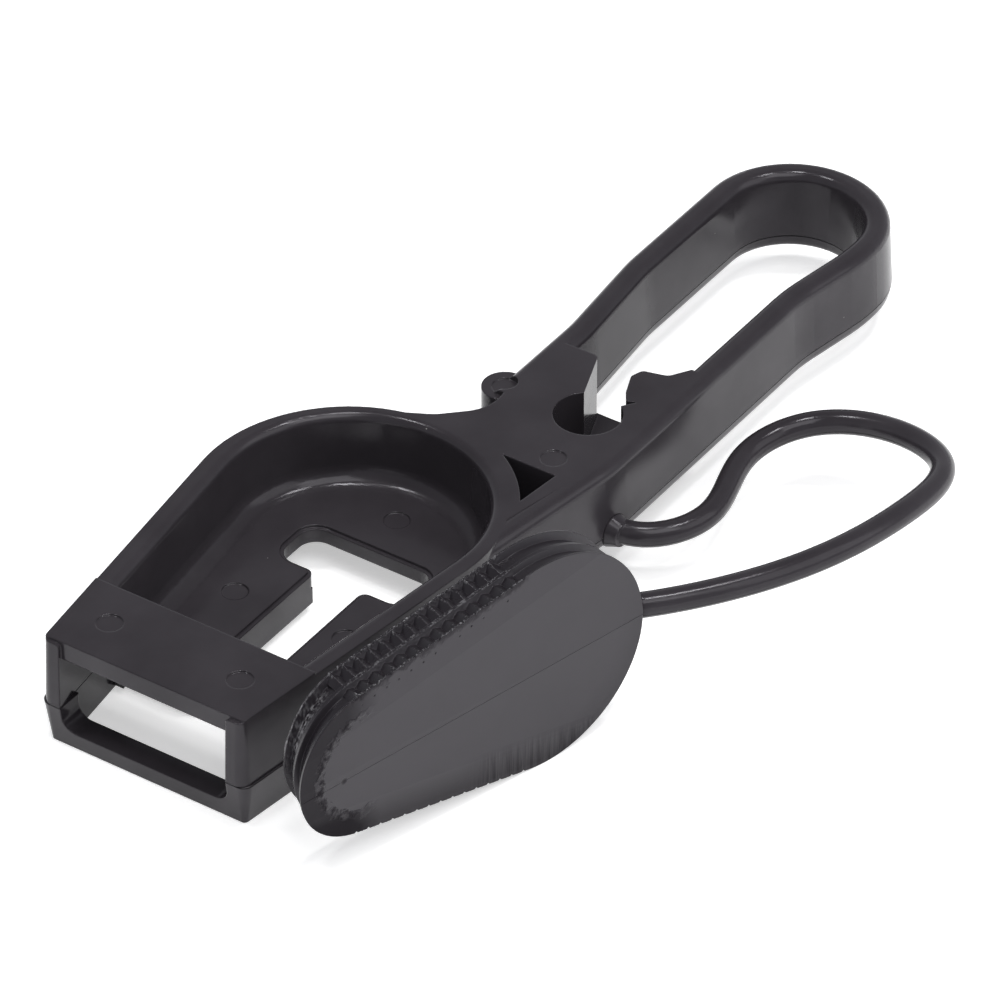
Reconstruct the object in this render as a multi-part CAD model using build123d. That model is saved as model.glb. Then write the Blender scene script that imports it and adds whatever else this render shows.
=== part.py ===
from build123d import *
import math
import os

# Drop cable clamp: a teardrop pocket with a hook loop, and a toothed wedge on a moulded tether.
# Frame: origin at the centre of the loop's round end, in the parting plane of the moulding.
# +X runs from the cable mouth to the loop, +Z up. Millimetres.

# Body heights above and below the parting plane
top_height = 9.8
skirt_depth = 6.2
loop_depth = 2.2
floor_thickness = 2.4

# Teardrop pocket. The outer wall's round end lies nearer the mouth, so the wall thins towards the neck.
pocket_to_eye = 85.0
pocket_offset = 13.0
pocket_radius = 17.2
pocket_wall = 3.8
wall_shift = 0.9
pocket_length = 45.0
pocket_taper_deg = 7.4
wall_draft_deg = 2.0
skirt_draft_deg = 8.0
cavity_draft_deg = 4.6
floor_round = 2.5
rim_round = 1.2
skirt_step = 0.3
past_cut = 1.0
close = 0.01

# Mouth: a bridge above and a sill below the cable window, between rounded posts
post_round = 1.5
mouth_relief = 1.2
bridge_setback = 0.9
bridge_length = 12.8
bridge_thickness = 2.4
bridge_raise = 0.3
floor_setback = 14.5
sill_width = 3.9
sill_height = 2.6
sill_round = 2.0

# T-shaped slot in the pocket floor, with a shallow lip round its edge and ribs under its stem's sides
slot_near = 4.2
slot_far = 3.6
slot_half_length = 9.9
slot_side = -1.0
slot_corner = 2.6
slot_elbow = 1.2
stem_half_width = 3.7
lip_width = 0.5
lip_depth = 0.35
rib_width = 2.0
rib_depth = 4.9

# Hook loop: the centreline of its bar and the bar's section
eye_radius = 11.3
eye_ease = 0.05
left_leg = 9.7
right_leg = 9.3
left_flare_start = 37.0
left_flare_end = 21.0
right_flare_start = 15.0
right_flare_end = 3.0
flare_round = 28.0
bar_top_width = 3.4
bar_width = 4.6
bar_bottom_width = 4.0
bar_round = 1.45

# Neck plate with its keyhole notch. The crotch points are measured from the start of the loop's left bar.
neck_bend = 60.0
neck_left = 55.0
crotch = [(-12.5, 11.3), (-9.0, 4.7), (-4.0, -0.5)]
crotch_rounds = [0.15, 6.0, 6.0]
keyhole_back = 52.8
keyhole_side = -1.9
keyhole_radius = 4.6
left_jaw = [(-41.5, left_leg), (-41.5, 4.0), (-49.2, 1.1)]
left_jaw_rounds = [0.15, 0.9, 0.3]
right_jaw = [
    (-46.9, -6.0),
    (-47.8, -4.5),
    (-46.2, -3.4),
    (-42.8, -2.0),
    (-41.0, -2.6),
    (-40.1, -6.0),
    (-37.2, -7.8),
]
right_jaw_rounds = [0.15, 0.3, 0.3, 0.9, 0.9, 1.5, 0.15]
window_back = 41.0
edge_round = 0.15
core_rim_radius = 21.6
core_corners = [(-66.2, 7.0), (-66.2, -5.8), (-81.0, -4.2)]

# Side pad and the shallow marks of the ejector pins
pad_reach = 52.9
pad_side = 11.0
pad_radius = 3.1
pad_drop = 0.8
mark_radius = 1.75
mark_depth = 0.2
bridge_mark_side = 10.0
neck_mark = (-63.2, -3.5)
floor_mark_ahead = 10.2
floor_mark_behind = 13.5
floor_mark_side = 8.6

# Tether: the points it runs through from the neck's side wall, rising to the wedge
tether_diameter = 3.35
root_diameter = 4.8
root_length = 1.8
root_sink = 0.4
root_at = -60.6
tether_line = [
    (-59.5, -15.0, 0.0),
    (-51.6, -19.7, 0.2),
    (-39.8, -17.7, 1.2),
    (-31.1, -20.9, 2.3),
    (-27.0, -33.2, 4.0),
    (-31.6, -42.7, 5.4),
    (-43.0, -44.9, 6.9),
    (-62.6, -40.4, 8.0),
]
tip_gap = 0.3

# Wedge, standing on edge beside the body, level with the skirt. Its narrow end rakes back to the rear face.
wedge_thickness = 6.4
wedge_edge_thickness = 5.8
wedge_big_radius = 15.6
wedge_small_radius = 10.6
wedge_centres = 28.7
end_rake = 3.0
wedge_yaw_deg = -15.5
wedge_end_x = -83.4
wedge_end_y = -30.4
rim_width = 0.5
ridge_width = 0.5
ridge_inset = 0.25
groove_depth = 1.0
groove_slope = 0.4
tooth_pitch = 1.95
tooth_count = 14
tooth_proud = 0.15
tooth_root = 0.35
notch_floor = 0.75
tooth_lead = 1.0
tether_setback = 1.0
tether_drop = 0.8

pocket_centre = Vector(-pocket_to_eye, pocket_offset)
pocket_taper = math.radians(pocket_taper_deg)
mouth_x = -pocket_to_eye - pocket_length
wedge_slope = math.asin((wedge_big_radius - wedge_small_radius) / wedge_centres)
standing = (Align.CENTER, Align.CENTER, Align.MIN)


def half_width(radius, reach):
    """Half the pocket's width at a distance from its round end's centre towards the mouth."""
    return (radius - reach * math.sin(pocket_taper)) / math.cos(pocket_taper)


def teardrop(radius, reach):
    """Plan of the pocket: a round end with two tangent sides running towards the mouth."""
    tangent_x = -radius * math.sin(pocket_taper)
    tangent_y = radius * math.cos(pocket_taper)
    end_y = half_width(radius, reach)
    sides = Polyline((tangent_x, tangent_y), (-reach, end_y), (-reach, -end_y), (tangent_x, -tangent_y))
    round_end = ThreePointArc((tangent_x, -tangent_y), (radius, 0), (tangent_x, tangent_y))
    plan = make_face([*sides.edges(), *round_end.edges()])
    return Pos(pocket_centre.X, pocket_centre.Y) * plan


def wall_plan(radius):
    """Plan of the outer wall, from its own round end to the rounded posts of the mouth."""
    plan = Pos(-wall_shift, 0) * teardrop(radius, pocket_length - wall_shift)
    return fillet(plan.vertices().group_by(Axis.X)[0], post_round)


def rounded(points, radii):
    """A closed outline with its own radius at each corner."""
    return make_face(FilletPolyline(*points, radius=radii, close=True))


def prism(plan, low, high):
    return extrude(Pos(0, 0, low) * plan, high - low)


def block(low_x, high_x, low_z, high_z):
    """A slab across the whole pocket between two stations and two heights."""
    across = 2 * (pocket_radius + pocket_wall + skirt_step + past_cut)
    plan = Pos((low_x + high_x) / 2, pocket_offset) * Rectangle(high_x - low_x, across)
    return prism(plan, low_z, high_z)


def pin_marks(places, level):
    mark = Cylinder(mark_radius, mark_depth + past_cut, align=standing)
    return Part() + [Pos(x, y, level - mark_depth) * mark for x, y in places]


def loop_bar():
    """The bar of the hook loop, from the side pad round the eye and back along the neck."""
    points = [
        (-neck_left, left_leg),
        (-left_flare_start, left_leg),
        (-left_flare_end, eye_radius),
        (eye_radius, eye_radius),
        (eye_radius, -eye_radius),
        (-right_flare_end, -eye_radius),
        (-right_flare_start, -right_leg),
        (-neck_bend, -right_leg),
        (pocket_centre.X, pocket_offset - pocket_radius - pocket_wall + bar_width / 2),
    ]
    eye_round = eye_radius - eye_ease
    radii = [flare_round, flare_round, eye_round, eye_round, flare_round, flare_round, flare_round]
    path = FilletPolyline(*points, radius=radii)
    outline = [
        (-bar_top_width / 2, top_height),
        (bar_top_width / 2, top_height),
        (bar_width / 2, 0),
        (bar_bottom_width / 2, -loop_depth),
        (-bar_bottom_width / 2, -loop_depth),
        (-bar_width / 2, 0),
    ]
    start = Plane(origin=path @ 0, x_dir=(0, 1, 0), z_dir=path % 0)
    radii = [bar_round, bar_round, edge_round, bar_round, bar_round, edge_round]
    section = start * rounded(outline, radii)
    return sweep(section, path=path)


def neck_plate():
    """The plate between pocket and loop: a keyhole notch above, a plain web below."""
    back = (pocket_centre.X, pocket_centre.Y)
    left = [back, *[(x - neck_left, y + left_leg) for x, y in crotch], (-neck_left, left_leg)]
    left_rounds = [edge_round, *crotch_rounds, edge_round]
    right = [(-neck_bend, -right_leg), (pocket_centre.X, pocket_offset - pocket_radius)]
    keyhole = (-keyhole_back, keyhole_side)
    jaws = [*left_jaw, keyhole, *right_jaw, (right_jaw[-1][0], -right_leg)]
    jaw_rounds = [*left_jaw_rounds, edge_round, *right_jaw_rounds, edge_round]
    upper = rounded([*left, *jaws, *right], [*left_rounds, *jaw_rounds, edge_round, edge_round])
    upper -= Pos(*keyhole) * Circle(keyhole_radius)
    web = [(-window_back, left_leg), (-window_back, -right_leg)]
    lower = rounded([*left, *web, *right], [*left_rounds, *[edge_round] * 4])
    return prism(upper, 0, top_height) + prism(lower, -loop_depth, 0)


def core_recess():
    """The triangular core in the crotch of the neck, with one side concentric with the pocket."""
    plan = make_face(Polyline(*core_corners, core_corners[0]))
    plan -= Pos(pocket_centre.X, pocket_centre.Y) * Circle(core_rim_radius)
    return prism(plan, 0, top_height + past_cut)


def floor_slot():
    """The T-shaped slot: a bar across the round end and a stem running out to the mouth."""
    bar = RectangleRounded(slot_near + slot_far, 2 * slot_half_length, slot_corner)
    bar = Pos((slot_far - slot_near) / 2, slot_side) * bar
    stem = Rectangle(pocket_length - floor_setback, 2 * stem_half_width, align=(Align.MAX, Align.CENTER))
    plan = bar + Pos(0, slot_side) * stem
    elbows = plan.vertices().sort_by_distance((-slot_near, slot_side))[:2]
    plan = Pos(pocket_centre.X, pocket_centre.Y) * fillet(elbows, slot_elbow)
    through = prism(plan, -floor_thickness - past_cut, past_cut)
    return through + prism(offset(plan, lip_width), -lip_depth, past_cut)


def stem_ribs():
    """Two ribs under the floor, along the sides of the slot's stem."""
    ahead = slot_near + slot_elbow / 2
    rib = Rectangle(pocket_length - floor_setback - ahead, rib_width, align=(Align.MAX, Align.CENTER))
    reach = stem_half_width + rib_width / 2
    plan = Pos(0, reach) * rib + Pos(0, -reach) * rib
    plan = Pos(pocket_centre.X - ahead, pocket_centre.Y + slot_side) * plan
    return prism(plan, -rib_depth, -floor_thickness)


def mouth_window(half_width):
    """The cable window above the sill, with rounded lower corners."""
    low = sill_height - skirt_depth
    window = RectangleRounded(2 * half_width, 2 * abs(low), sill_round)
    front = Plane(origin=(mouth_x - past_cut, pocket_offset, 0), x_dir=(0, 1, 0), z_dir=(1, 0, 0))
    return extrude(front * window, sill_width + 2 * past_cut)


def round_rim(body):
    """Rounds the pocket's inner top edge."""
    level = body.edges().filter_by_position(Axis.Z, top_height - close, top_height + close)
    end = level.sort_by_distance((pocket_centre.X + pocket_radius, pocket_offset, top_height))[0]
    return fillet([edge for edge in level if edge.distance_to(end) < close], rim_round)


def make_body():
    outer_radius = pocket_radius + pocket_wall
    shell = extrude(wall_plan(outer_radius), top_height, taper=wall_draft_deg)
    skirt = extrude(wall_plan(outer_radius + skirt_step), -skirt_depth, taper=skirt_draft_deg)
    pad = prism(Pos(-pad_reach, pad_side) * Circle(pad_radius), -loop_depth, top_height - pad_drop)
    body = shell + skirt + neck_plate() + loop_bar() + pad

    past_mouth = pocket_length + floor_round + past_cut
    inner = teardrop(pocket_radius, past_mouth)
    cavity = extrude(inner, top_height + past_cut, taper=-cavity_draft_deg)
    cavity = fillet(cavity.faces().sort_by(Axis.Z)[0].edges(), floor_round)
    bottom = -skirt_depth - past_cut
    under = prism(inner, bottom, -floor_thickness)
    inside = prism(inner, bottom, top_height)
    opening = inside & block(mouth_x - past_mouth, mouth_x + floor_setback, bottom, top_height)
    bridge_front = mouth_x + bridge_setback
    bridge_back = bridge_front + bridge_length
    bridge_top = top_height + bridge_raise
    mouth_radius = pocket_radius + mouth_relief
    mouth = prism(teardrop(mouth_radius, past_mouth), bottom, top_height)
    mouth &= block(mouth_x - past_mouth, bridge_back, bottom, top_height)
    body = round_rim(body - cavity)
    body -= under + opening + mouth + floor_slot() + core_recess()

    sill = skirt & block(mouth_x, mouth_x + sill_width, -skirt_depth, 0)
    sill -= mouth_window(half_width(mouth_radius, pocket_length))
    cover = extrude(wall_plan(outer_radius), bridge_top, taper=wall_draft_deg)
    bridge = cover & block(bridge_front, bridge_back, top_height - bridge_thickness, bridge_top)
    body += sill + bridge + stem_ribs()

    mark_x = bridge_front + bridge_length / 2
    bridge_marks = [(mark_x, pocket_offset + side) for side in (-bridge_mark_side, bridge_mark_side)]
    floor_x = pocket_centre.X - floor_mark_behind
    floor_marks = [(floor_x, pocket_offset + side) for side in (-floor_mark_side, floor_mark_side)]
    floor_marks.append((pocket_centre.X + floor_mark_ahead, pocket_offset))
    body -= pin_marks(bridge_marks, bridge_top)
    body -= pin_marks([neck_mark], top_height)
    body -= pin_marks([(-pad_reach, pad_side)], top_height - pad_drop)
    body -= pin_marks(floor_marks, 0)
    return body


def wedge_place():
    """The wedge's own plane: x along it towards the big end, y up, z out of its front face."""
    yaw = math.radians(wedge_yaw_deg)
    along = Vector(math.cos(yaw), math.sin(yaw), 0)
    front = Vector(math.sin(yaw), -math.cos(yaw), 0)
    end = Vector(wedge_end_x, wedge_end_y, wedge_big_radius - skirt_depth)
    centre = end - along * wedge_big_radius - front * (wedge_thickness / 2)
    return Plane(origin=centre, x_dir=along, z_dir=front)


def wedge_outline(inset, level):
    """Two circles and their common tangents, at one level of the thickness."""
    rake = end_rake * (0.5 - level / wedge_thickness)
    big = wedge_big_radius - inset
    small = wedge_small_radius - inset + rake * math.sin(wedge_slope)
    reach = Vector(-math.sin(wedge_slope), math.cos(wedge_slope))
    back = Vector(rake - wedge_centres, 0)
    up_big, up_small = reach * big, back + reach * small
    down_big, down_small = Vector(up_big.X, -up_big.Y), Vector(up_small.X, -up_small.Y)
    edges = [
        ThreePointArc(down_big, (big, 0), up_big),
        Line(up_big, up_small),
        ThreePointArc(up_small, back + Vector(-small, 0), down_small),
        Line(down_small, down_big),
    ]
    return make_face(edges)


def grooved_wedge():
    """The wedge without teeth: two rims with a groove each side of the ridge at mid-thickness."""
    half = wedge_thickness / 2
    rim = half - rim_width
    ridge = ridge_width / 2
    front = [
        (ridge, ridge_inset),
        (ridge + groove_slope, groove_depth),
        (rim - groove_slope, groove_depth),
        (rim, 0),
        (half, 0),
    ]
    steps = [*[(-level, inset) for level, inset in reversed(front)], *front]
    wedge = Part()
    for (low, inset), (high, next_inset) in zip(steps, steps[1:]):
        under = Pos(0, 0, low) * wedge_outline(inset, low)
        over = Pos(0, 0, high) * wedge_outline(next_inset, high)
        wedge += loft([under, over], ruled=True)
    return wedge


def upper_side():
    """The upper straight side: outward, along it to the narrow end, and where its teeth start."""
    out = Vector(-math.sin(wedge_slope), math.cos(wedge_slope))
    along = Vector(-math.cos(wedge_slope), -math.sin(wedge_slope))
    return out, along, out * (wedge_big_radius - groove_depth) + along * tooth_lead


def side_teeth():
    """One row of grip teeth along the upper straight side, growing from the ridge out to the face."""
    out, along, floor = upper_side()
    stations = [(ridge_width / 2, tooth_root), (wedge_thickness / 2, groove_depth + tooth_proud)]
    row = []
    for index in range(tooth_count):
        near = floor + along * (index * tooth_pitch)
        far = near + along * tooth_pitch
        middle = near + along * (tooth_pitch / 2)
        sunk = out * -groove_depth
        ends = []
        for level, rise in stations:
            crest = middle + out * rise
            outline = Polyline(near + sunk, near, crest, far, far + sunk, near + sunk)
            ends.append(Pos(0, 0, level) * make_face(outline))
        row.append(loft(ends, ruled=True))
    return row


def rim_notches():
    """The valleys of one row of teeth, cut on through the rim."""
    out, along, floor = upper_side()
    inner_end = wedge_thickness / 2 - rim_width - groove_slope
    notches = []
    for index in range(tooth_count + 1):
        valley = floor + along * (index * tooth_pitch) + out * notch_floor
        wide = along * (tooth_pitch / 2)
        high = out * groove_depth
        outline = Polyline(valley, valley + high + wide, valley + high - wide, valley)
        notches.append(prism(make_face(outline), inner_end, wedge_thickness))
    return notches


def four_rows(row):
    """A row of the upper front side, and its copies on the lower side and the rear half."""
    both = row + [mirror(piece, Plane.XZ) for piece in row]
    return both + [mirror(piece, Plane.XY) for piece in both]


def make_wedge():
    wedge = grooved_wedge() - four_rows(rim_notches()) + four_rows(side_teeth())
    half = wedge_thickness / 2
    edge = wedge_edge_thickness / 2
    tall = wedge_big_radius
    corners = [(half, 0), (edge, tall), (-edge, tall), (-half, 0), (-edge, -tall), (edge, -tall)]
    length = wedge_centres + wedge_big_radius + wedge_small_radius
    narrow_end = Plane(origin=(wedge_big_radius - length, 0, 0), x_dir=(0, 0, 1), z_dir=(1, 0, 0))
    wedge &= extrude(narrow_end * make_face(Polyline(*corners, corners[0])), length)
    return wedge_place() * wedge


def tether_tip():
    """Where the tether ends, just short of the wedge's big end. The wedge turns about this point."""
    reach = wedge_big_radius + tip_gap + tether_diameter / 2
    return wedge_place().from_local_coords(Vector(reach, -tether_drop, tether_setback))


def make_tether(body):
    tip = tether_tip()
    wall = -right_leg - bar_width / 2
    path = Spline((root_at, -right_leg, 0), (root_at, wall, 0), *tether_line, tip)
    start = Plane(origin=path @ 0, z_dir=path % 0)
    cord = sweep(start * Circle(tether_diameter / 2), path=path)
    cord += Pos(tip.X, tip.Y, tip.Z) * Sphere(tether_diameter / 2)
    flare = Cone(root_diameter / 2, tether_diameter / 2, root_length, align=standing)
    cord += start * Pos(0, 0, bar_width / 2 - root_sink) * flare
    return cord - body


os.makedirs("parts", exist_ok=True)
clamp_body = make_body()
nodes = {"clamp_body": clamp_body, "tether": make_tether(clamp_body), "wedge": make_wedge()}
for name, solid in nodes.items():
    export_step(solid, f"parts/{name}.step")
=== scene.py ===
import math
from types import SimpleNamespace

import bpy
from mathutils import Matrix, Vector


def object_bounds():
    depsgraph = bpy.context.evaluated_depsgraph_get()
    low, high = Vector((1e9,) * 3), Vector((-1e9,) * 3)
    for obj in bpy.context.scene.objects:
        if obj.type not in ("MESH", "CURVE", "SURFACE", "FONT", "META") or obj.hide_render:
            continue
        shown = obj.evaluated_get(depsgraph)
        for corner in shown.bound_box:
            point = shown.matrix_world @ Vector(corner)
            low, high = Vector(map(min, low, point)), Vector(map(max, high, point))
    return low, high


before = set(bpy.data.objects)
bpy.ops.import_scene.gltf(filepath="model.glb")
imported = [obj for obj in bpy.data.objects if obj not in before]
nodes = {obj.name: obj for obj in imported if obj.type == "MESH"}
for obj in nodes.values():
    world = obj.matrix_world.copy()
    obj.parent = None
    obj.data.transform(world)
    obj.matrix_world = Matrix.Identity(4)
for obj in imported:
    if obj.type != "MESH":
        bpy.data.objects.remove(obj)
cad_low, cad_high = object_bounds()
MM = 0.001
UP = Vector((0, 0, 1))

# Camera: what the picture's centre shows, and the direction and distance it is seen from
CAMERA_TARGET = Vector((-65.73, 3.07, 1.8)) * MM
CAMERA_PLAN_DEG = 34.13
CAMERA_TILT_DEG = 37.39
CAMERA_DISTANCE = 886.6 * MM
CAMERA_LENS_MM = 247.4
CAMERA_SENSOR_MM = 36.0

# Plastic colours as linear light
BLACK = (0.0352, 0.0314, 0.036, 1)
BLACK_DEEP = (0.0284, 0.0252, 0.0291, 1)
SEAM = (0.004, 0.0034, 0.0042, 1)
SATIN = (0.026, 0.0232, 0.0275, 1)
SATIN_PALE = (0.03, 0.027, 0.0316, 1)
# Dark marks and rubbing, and painted shade on the wedge's rim bands and lower flank
SATIN_DEEP = (0.0105, 0.0086, 0.011, 1)
# Pale worn flakes, and painted glints on the wedge's teeth and rear rim
SATIN_WEAR_AND_GLINT = (0.3, 0.295, 0.31, 1)
SHEEN = (0.965, 0.945, 1, 1)
DUST = (0.45, 0.44, 0.43, 1)
PLASTIC_IOR = 1.46

# The range that most of a noise pattern lies in
NOISE_LOW = 0.3
NOISE_HIGH = 0.7

# Wedge: its middle plane, its own axes and its outline, as in the part
WEDGE_YAW = math.radians(-15.5)
WEDGE_ALONG = Vector((math.cos(WEDGE_YAW), math.sin(WEDGE_YAW), 0))
WEDGE_FRONT = Vector((math.sin(WEDGE_YAW), -math.cos(WEDGE_YAW), 0))
WEDGE_CENTRE = Vector((-97.578, -23.147, 9.4)) * MM
WEDGE_BIG = 15.6 * MM
WEDGE_SMALL = 10.6 * MM
WEDGE_CENTRES = 28.7 * MM
WEDGE_SLOPE = math.asin((WEDGE_BIG - WEDGE_SMALL) / WEDGE_CENTRES)
TOOTH_PITCH = 1.95 * MM
TOOTH_LEAD = 1.0 * MM

# Marks on the wedge, from its big end's centre or in from its rims
LINE_RISE = 0.024
LINE_DROP = 0.28 * MM
GATE_BACK = 32.5 * MM
TEETH_MIDDLE = 14.5 * MM
TEETH_HALF = 13.5 * MM
SCUFF_MIDDLE = -1.5 * MM
SCUFF_HALF = 8 * MM
SCUFF_INSET = 2.2 * MM
CRUST_INSET = 3.0 * MM
DOME_WIDTH = 4.5 * MM

# Stage: a glowing white floor and a room that darkens up to a height on a ray of length 1
FLOOR_SIZE = 6.0
FLOOR_WHITE = (0.9, 0.9, 0.9, 1)
FLOOR_GLOW = 0.48
FLOOR_GAP = 0.03 * MM
ROOM_HORIZON = (0.66, 0.67, 0.7, 1)
ROOM_OVERHEAD = (0.16, 0.16, 0.165, 1)
ROOM_OVERHEAD_FROM = 0.9

# Lamps: plan and tilt of the direction in degrees, distance and size in metres, power in watts
LAMPS = {
    "key": (240.0, 62.0, 1.2, 0.7, 5.2),
    "fill": (285.0, 35.0, 1.4, 1.0, 4.1),
    "top": (34.0, 84.0, 1.2, 0.15, 2.6),
    "top_right": (-47.0, 70.0, 1.2, 0.15, 2.4),
    "top_left": (115.0, 69.0, 1.2, 0.15, 2.2),
}


class Nodes:
    """A short way to write a material's node tree."""

    def __init__(self, name):
        self.material = bpy.data.materials.new(name)
        self.material.use_nodes = True
        self.tree = self.material.node_tree
        self.shader = self.tree.nodes["Principled BSDF"]
        self.spot = self.add("ShaderNodeTexCoord").outputs["Object"]

    def add(self, kind, inputs=None, **settings):
        node = self.tree.nodes.new(kind)
        for key, value in settings.items():
            setattr(node, key, value)
        for key, value in (inputs or {}).items():
            self.put(node, key, value)
        return node

    def put(self, node, key, value):
        """Links a socket, or sets a plain value."""
        if isinstance(value, bpy.types.NodeSocket):
            self.tree.links.new(value, node.inputs[key])
        else:
            node.inputs[key].default_value = value

    def math(self, operation, a, b=0.0):
        return self.add("ShaderNodeMath", {0: a, 1: b}, operation=operation).outputs[0]

    def times(self, *values):
        product = values[0]
        for value in values[1:]:
            product = self.math("MULTIPLY", product, value)
        return product

    def plus(self, *values):
        total = values[0]
        for value in values[1:]:
            total = self.math("ADD", total, value)
        return total

    def weigh(self, *pairs):
        """The sum of some masks, each times its weight."""
        return self.plus(*[self.times(mask, weight) for mask, weight in pairs])

    def highest(self, *values):
        top = values[0]
        for value in values[1:]:
            top = self.math("MAXIMUM", top, value)
        return top

    def noise(self, scale, detail=4.0, vector=None):
        inputs = {"Vector": vector or self.spot, "Scale": scale, "Detail": detail, "Roughness": 0.55}
        return self.add("ShaderNodeTexNoise", inputs).outputs["Fac"]

    def streaks(self, scales, detail):
        """A noise with a scale of its own on each axis."""
        drawn = self.add("ShaderNodeMapping", {"Vector": self.spot, "Scale": scales}).outputs["Vector"]
        return self.noise(1.0, detail, drawn)

    def ramp(self, value, low, high, start=0.0, end=1.0):
        """Goes from start to end as the value goes from low to high, and stays there."""
        inputs = {"Value": value, "From Min": low, "From Max": high, "To Min": start, "To Max": end}
        return self.add("ShaderNodeMapRange", inputs).outputs["Result"]

    def spread(self, noise, start=0.0, end=1.0):
        """A noise stretched from start to end."""
        return self.ramp(noise, NOISE_LOW, NOISE_HIGH, start, end)

    def band(self, value, middle, half, soft):
        """1 within half of the middle, falling to 0 over the soft width."""
        away = self.math("ABSOLUTE", self.math("SUBTRACT", value, middle))
        return self.ramp(away, half + soft, half)

    def along(self, axis, origin=Vector((0, 0, 0))):
        """The distance from an origin along an axis."""
        dot = self.add("ShaderNodeVectorMath", {0: self.spot, 1: tuple(axis)}, operation="DOT_PRODUCT")
        return self.math("SUBTRACT", dot.outputs["Value"], origin.dot(axis))

    def facing(self, axis):
        """How far the surface faces an axis of the object, from -1 to 1."""
        normal = self.add("ShaderNodeNewGeometry").outputs["Normal"]
        turned = self.add(
            "ShaderNodeVectorTransform",
            {0: normal},
            vector_type="NORMAL",
            convert_from="WORLD",
            convert_to="OBJECT",
        ).outputs[0]
        dot = self.add("ShaderNodeVectorMath", {0: turned, 1: tuple(axis)}, operation="DOT_PRODUCT")
        return dot.outputs["Value"]

    def distance(self, a, b):
        return self.math("SQRT", self.plus(self.times(a, a), self.times(b, b)))

    def mix(self, factor, a, b):
        node = self.add("ShaderNodeMix", data_type="RGBA")
        self.put(node, 0, factor)
        self.put(node, 6, a)
        self.put(node, 7, b)
        return node.outputs[2]

    def height(self, value, depth, normal):
        """Raises the surface by a pattern, depth in metres."""
        inputs = {"Height": value, "Distance": depth, "Strength": 1.0, "Normal": normal}
        return self.add("ShaderNodeBump", inputs).outputs["Normal"]

    def specks(self, scale, size, share):
        """Sparse round specks: a share of the cells of a pattern, each with one dot."""
        cells = self.add("ShaderNodeTexVoronoi", {"Vector": self.spot, "Scale": scale})
        dot = self.ramp(cells.outputs["Distance"], size * 1.5, size)
        pick = self.add("ShaderNodeSeparateColor", {0: cells.outputs["Color"]}).outputs[0]
        return self.times(dot, self.ramp(pick, 1 - share, 1 - share + 0.001))

    def soft_edges(self, radius):
        return self.add("ShaderNodeBevel", {"Radius": radius}, samples=8).outputs["Normal"]


def skin(m, base, shine, roughness, normal):
    """Puts the last colour, gloss and surface on a plastic."""
    m.put(m.shader, "Base Color", base)
    m.put(m.shader, "Specular IOR Level", shine)
    m.put(m.shader, "Specular Tint", SHEEN)
    m.put(m.shader, "Roughness", roughness)
    m.put(m.shader, "Normal", normal)
    m.put(m.shader, "IOR", PLASTIC_IOR)
    return m.material


def moulded_plastic(name, seam):
    """Semi-gloss black moulding: cloudy gloss, flow lines, a fine skin, dust and a parting line."""
    m = Nodes(name)
    cloud = m.noise(90.0)
    fine = m.noise(3200.0, 2.0)
    flow = m.streaks((35.0, 300.0, 300.0), 3.0)
    dust = m.specks(420.0, 0.035, 0.05)
    line = seam(m)
    tone = m.mix(m.spread(cloud), BLACK_DEEP, BLACK)
    tone = m.mix(m.times(dust, 0.45), tone, DUST)
    tone = m.mix(m.times(line, 0.8), tone, SEAM)
    gloss = m.plus(m.spread(cloud, 0.13, 0.23), m.spread(fine, -0.01, 0.02))
    rough = m.plus(gloss, m.weigh((dust, 0.4), (line, 0.3)))
    shine = m.math("SUBTRACT", m.spread(cloud, 0.24, 0.37), m.times(line, 0.2))
    wavy = m.height(flow, 0.02 * MM, m.soft_edges(0.3 * MM))
    grained = m.height(fine, 0.0006 * MM, wavy)
    return skin(m, tone, shine, rough, m.height(line, -0.05 * MM, grained))


def level_seam(m):
    """The parting line of the body, at the frame's zero height."""
    steep = m.ramp(m.math("ABSOLUTE", m.facing(UP)), 0.7, 0.5)
    return m.times(m.band(m.along(UP), 0.0, 0.05 * MM, 0.08 * MM), steep)


def tube_seam(m):
    """The parting line along the lower side of the tether."""
    return m.band(m.facing(UP), -0.3, 0.02, 0.05)


def wedge_places(m):
    """Where a point of the wedge lies, from its big end's centre and in from its rims."""
    at = SimpleNamespace()
    at.along = m.along(WEDGE_ALONG, WEDGE_CENTRE)
    at.up = m.along(UP, WEDGE_CENTRE)
    at.front = m.along(WEDGE_FRONT, WEDGE_CENTRE)
    at.face = m.ramp(m.math("ABSOLUTE", m.facing(WEDGE_FRONT)), 0.8, 0.97)
    at.edge = m.math("SUBTRACT", 1.0, at.face)

    # In from both straight sides and from the upper one, and back along the upper one
    out_along, out_up = -math.sin(WEDGE_SLOPE), math.cos(WEDGE_SLOPE)
    lean = m.times(at.along, out_along)
    either_way = m.math("ABSOLUTE", at.up)
    at.side = m.math("SUBTRACT", WEDGE_BIG, m.plus(lean, m.times(either_way, out_up)))
    at.upper = m.math("SUBTRACT", WEDGE_BIG, m.plus(lean, m.times(at.up, out_up)))
    at.run = m.weigh((at.along, -out_up), (at.up, out_along))
    at.teeth = m.band(at.run, TEETH_MIDDLE, TEETH_HALF, 1 * MM)

    # In from the two round ends
    from_narrow = m.distance(m.math("ADD", at.along, WEDGE_CENTRES), at.up)
    at.narrow = m.math("SUBTRACT", WEDGE_SMALL, from_narrow)
    at.big = m.math("SUBTRACT", WEDGE_BIG, m.distance(at.along, at.up))
    at.behind = m.ramp(at.along, -WEDGE_CENTRES + 2 * MM, -WEDGE_CENTRES - 3 * MM)
    at.low = m.ramp(at.up, -4 * MM, -6 * MM)
    return at


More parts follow.
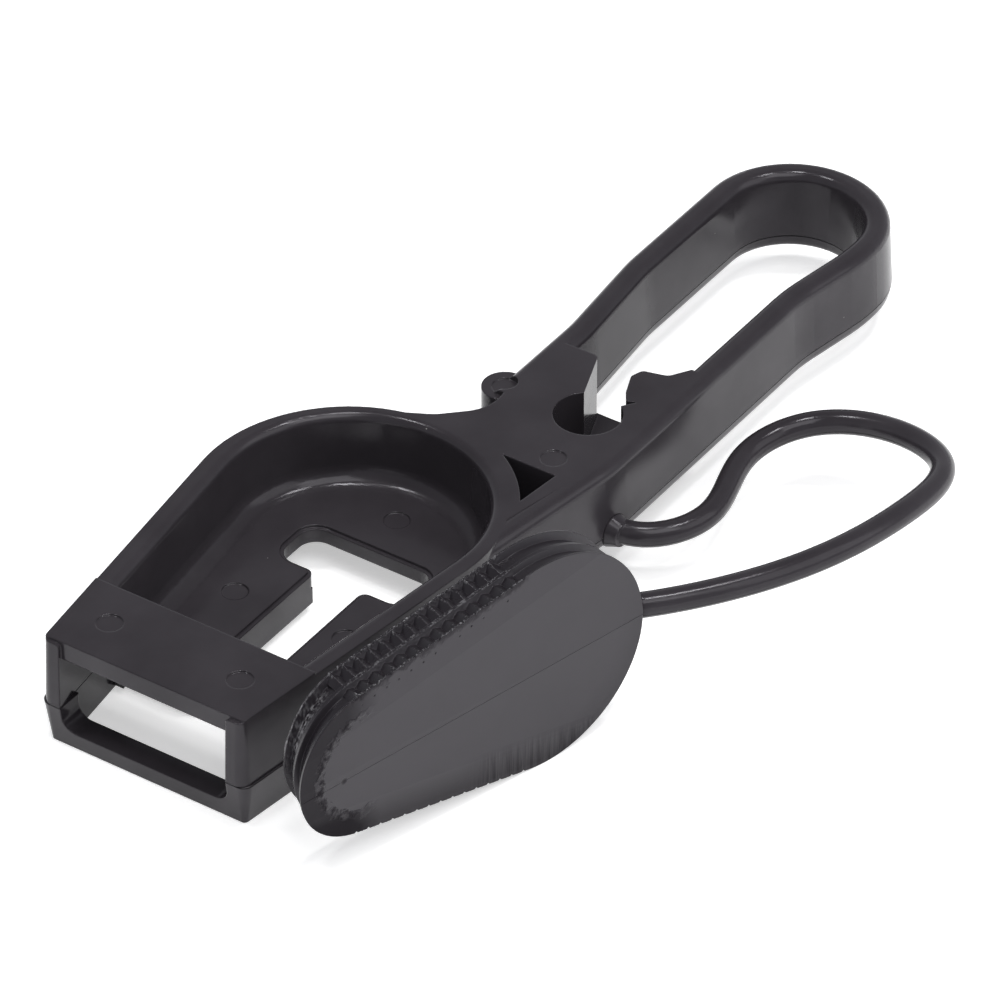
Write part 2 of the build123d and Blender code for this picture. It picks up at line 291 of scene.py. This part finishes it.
def dark_marks(m, at, cloud, patch):
    """The parting line with the gate's dot on it, and the pits and ragged edge beside the teeth."""
    line_height = m.plus(at.up, m.times(at.along, -LINE_RISE), LINE_DROP)
    line = m.times(m.band(line_height, 0.0, 0.02 * MM, 0.06 * MM), 0.5)
    gate_at = m.distance(m.math("ADD", at.along, GATE_BACK), line_height)
    gate = m.times(m.ramp(gate_at, 0.55 * MM, 0.2 * MM), 0.8)

    # One pit to a tooth, at most
    step = m.math("FRACT", m.math("DIVIDE", m.math("SUBTRACT", at.run, TOOTH_LEAD), TOOTH_PITCH))
    pit_x = m.times(m.math("SUBTRACT", step, 0.5), TOOTH_PITCH)
    pit_y = m.math("SUBTRACT", at.upper, m.spread(cloud, 1.1 * MM, 1.9 * MM))
    some = m.ramp(m.noise(330.0, 1.0), 0.42, 0.52)
    pit = m.times(m.ramp(m.distance(pit_x, pit_y), 0.2 * MM, 0.07 * MM), some, at.teeth)
    torn = m.plus(at.upper, m.spread(patch, -0.5 * MM, 0.5 * MM))
    ragged = m.times(m.ramp(torn, 0.9 * MM, 0.2 * MM), at.teeth, 0.7)
    return m.times(m.highest(line, gate, pit, ragged), at.face)


def rubbed_end(m, at, patch):
    """The rubbed band round the narrow end of the face, and the crust along its inner edge."""
    inset = m.plus(at.narrow, m.spread(patch, 0.6 * MM, -0.6 * MM))
    where = m.times(at.behind, at.face)
    rubbed = m.times(m.ramp(inset, 3.7 * MM, 2.2 * MM), where)
    crust = m.times(m.band(inset, CRUST_INSET, 0.3 * MM, 0.4 * MM), where)
    return rubbed, crust


def scuffs(m, at):
    """Upright scuffs low on the face: where they lie, and their streaks."""
    across = m.band(at.along, SCUFF_MIDDLE, SCUFF_HALF, 4 * MM)
    inset = m.band(at.side, SCUFF_INSET, 1.6 * MM, 1.4 * MM)
    return m.times(across, inset, at.low, at.face), m.streaks((1700.0, 1700.0, 70.0), 2.0)


def worn_and_glint_marks(m, at):
    """Pale rough marks: worn flakes with a painted glint on the rear rim of the narrow end, and
    painted glints on the tips of the teeth.
    """
    flecks = m.streaks((2600.0, 2600.0, 800.0), 3.0)
    rear = m.ramp(at.front, -0.8 * MM, -1.6 * MM)
    far_back = m.ramp(at.along, -30.5 * MM, -33 * MM)
    rear_end = m.times(far_back, m.ramp(at.up, 0.5 * MM, 3 * MM), rear, at.edge)
    # Painted glints on the tips of the teeth
    tooth_glint = m.times(m.ramp(at.side, 0.4 * MM, 0.1 * MM), at.edge, m.ramp(flecks, 0.52, 0.62), at.teeth)
    return rear_end, m.ramp(flecks, 0.44, 0.62), tooth_glint


def wedge_plastic():
    """Satin wedge with a parting line, pits at its teeth, scuffs, a rubbed end, worn flakes with a
    painted glint, painted glints on its teeth, and painted shade on its rim bands and lower flank.
    """
    m = Nodes("wedge")
    at = wedge_places(m)
    cloud = m.noise(110.0)
    fine = m.noise(2400.0, 3.0)
    patch = m.noise(900.0, 5.0)
    dark = dark_marks(m, at, cloud, patch)
    rubbed, crust = rubbed_end(m, at, patch)
    scuff, streak = scuffs(m, at)
    rear_end, flecks, tooth_glint = worn_and_glint_marks(m, at)
    # Worn flakes on the rear rim of the narrow end, with a painted glint
    rear_flakes_and_glint = m.times(rear_end, flecks, m.ramp(patch, 0.32, 0.5))
    # Painted shade on the face along its lower straight side
    low_flank_shade = m.times(m.ramp(at.side, 4.5 * MM, 1.0 * MM), at.low, at.face)
    round_place = m.times(m.ramp(at.along, 0.0, 4 * MM), m.ramp(at.up, 8 * MM, -4 * MM))
    round_rim = m.times(m.ramp(at.big, 4.5 * MM, 0.5 * MM), round_place, at.face)

    tone = m.mix(m.ramp(cloud, 0.35, 0.7), SATIN, SATIN_PALE)
    # Darker: painted shade on the rim bands round the face, the rubbed end, painted shade on the
    # face's lower flank, and the dark marks
    for mask, share in ((at.edge, 0.75), (rubbed, 0.8), (low_flank_shade, 0.6), (dark, 0.85)):
        tone = m.mix(m.times(mask, share), tone, SATIN_DEEP)
    # Paler: worn flakes with a painted glint on the rear rim, and painted glints on the tips of the
    # teeth
    for mask, share in ((rear_flakes_and_glint, 0.75), (tooth_glint, 0.65)):
        tone = m.mix(m.times(mask, share), tone, SATIN_WEAR_AND_GLINT)
    tone = m.mix(m.times(m.specks(300.0, 0.03, 0.03), 0.5), tone, DUST)

    rough = m.plus(m.spread(cloud, 0.4, 0.48), m.weigh((at.edge, -0.16), (rubbed, 0.12), (dark, 0.2)))
    streaked = m.times(scuff, m.ramp(streak, 0.46, 0.58))
    blots = m.times(crust, m.ramp(patch, 0.42, 0.56))
    dull_rims = m.weigh((rubbed, 0.3), (low_flank_shade, 0.2), (round_rim, 0.1))
    dull_marks = m.weigh((dark, 0.3), (streaked, 0.13), (blots, 0.25))
    glare = m.plus(m.spread(cloud, 0.46, 0.52), m.ramp(at.up, -12 * MM, 8 * MM, -0.05, 0.01))
    shine = m.highest(m.math("SUBTRACT", glare, m.plus(dull_rims, dull_marks)), 0.05)

    dome = m.times(m.ramp(at.side, 0.0, DOME_WIDTH), at.face)
    domed = m.height(dome, 0.3 * MM, m.soft_edges(0.12 * MM))
    grained = m.height(fine, 0.006 * MM, domed)
    torn = m.times(patch, m.weigh((crust, 0.3), (rear_end, 0.18), (tooth_glint, 0.3)))
    dents = m.plus(m.weigh((dark, -0.12), (m.times(scuff, streak), 0.14)), torn)
    return skin(m, tone, shine, rough, m.height(dents, 1 * MM, grained))


def dress(node, material):
    mesh = nodes[node].data
    mesh.materials.clear()
    mesh.materials.append(material)


def make_floor():
    """A plain white floor just under the lowest point."""
    half = FLOOR_SIZE / 2
    mesh = bpy.data.meshes.new("floor")
    corners = [(-half, -half, 0), (half, -half, 0), (half, half, 0), (-half, half, 0)]
    mesh.from_pydata(corners, [], [(0, 1, 2, 3)])
    floor = bpy.data.objects.new("floor", mesh)
    floor.location.z = cad_low[2] - FLOOR_GAP
    bpy.context.scene.collection.objects.link(floor)
    m = Nodes("floor")
    m.put(m.shader, "Base Color", FLOOR_WHITE)
    m.put(m.shader, "Roughness", 0.9)
    m.put(m.shader, "Specular IOR Level", 0.1)
    m.put(m.shader, "Emission Color", (1, 1, 1, 1))
    path = m.add("ShaderNodeLightPath").outputs
    seen = m.highest(path["Is Camera Ray"], path["Is Glossy Ray"], path["Is Transmission Ray"])
    m.put(m.shader, "Emission Strength", m.times(seen, FLOOR_GLOW))
    mesh.materials.append(m.material)


def direction(plan_deg, tilt_deg):
    """The unit vector at an angle round the upright axis and an angle above the level."""
    plan, tilt = math.radians(plan_deg), math.radians(tilt_deg)
    return Vector((math.cos(tilt) * math.cos(plan), math.cos(tilt) * math.sin(plan), math.sin(tilt)))


def make_lamp(name, plan_deg, tilt_deg, distance, size, watts):
    """A soft square lamp that points at the object from a direction."""
    lamp = bpy.data.lights.new(name, "AREA")
    lamp.size = size
    lamp.energy = watts
    away = direction(plan_deg, tilt_deg)
    thing = bpy.data.objects.new(name, lamp)
    thing.location = CAMERA_TARGET + away * distance
    thing.rotation_euler = away.to_track_quat("Z", "Y").to_euler()
    bpy.context.scene.collection.objects.link(thing)


def make_world():
    """A dim room: pale round the horizon and darker overhead."""
    world = bpy.data.worlds.new("studio")
    bpy.context.scene.world = world
    world.use_nodes = True
    tree = world.node_tree
    back = tree.nodes["Background"]
    ray = tree.nodes.new("ShaderNodeTexCoord")
    split = tree.nodes.new("ShaderNodeSeparateXYZ")
    ramp = tree.nodes.new("ShaderNodeValToRGB")
    horizon, overhead = ramp.color_ramp.elements
    horizon.position = 0.0
    horizon.color = ROOM_HORIZON
    overhead.position = ROOM_OVERHEAD_FROM
    overhead.color = ROOM_OVERHEAD
    tree.links.new(ray.outputs["Generated"], split.inputs[0])
    tree.links.new(split.outputs["Z"], ramp.inputs[0])
    tree.links.new(ramp.outputs["Color"], back.inputs["Color"])
    back.inputs["Strength"].default_value = 1.0


def make_camera():
    """The camera at the photograph's angle."""
    camera = bpy.data.cameras.new("camera")
    camera.lens = CAMERA_LENS_MM
    camera.sensor_width = CAMERA_SENSOR_MM
    camera.clip_start = 0.01
    camera.dof.use_dof = False
    look = direction(CAMERA_PLAN_DEG, -CAMERA_TILT_DEG)
    thing = bpy.data.objects.new("camera", camera)
    thing.location = CAMERA_TARGET - look * CAMERA_DISTANCE
    thing.rotation_euler = look.to_track_quat("-Z", "Y").to_euler()
    bpy.context.scene.collection.objects.link(thing)
    bpy.context.scene.camera = thing


dress("clamp_body", moulded_plastic("moulding", level_seam))
dress("tether", moulded_plastic("tether", tube_seam))
dress("wedge", wedge_plastic())
make_floor()
make_world()
for name, lamp in LAMPS.items():
    make_lamp(name, *lamp)
make_camera()
bpy.context.scene.view_settings.view_transform = "Standard"
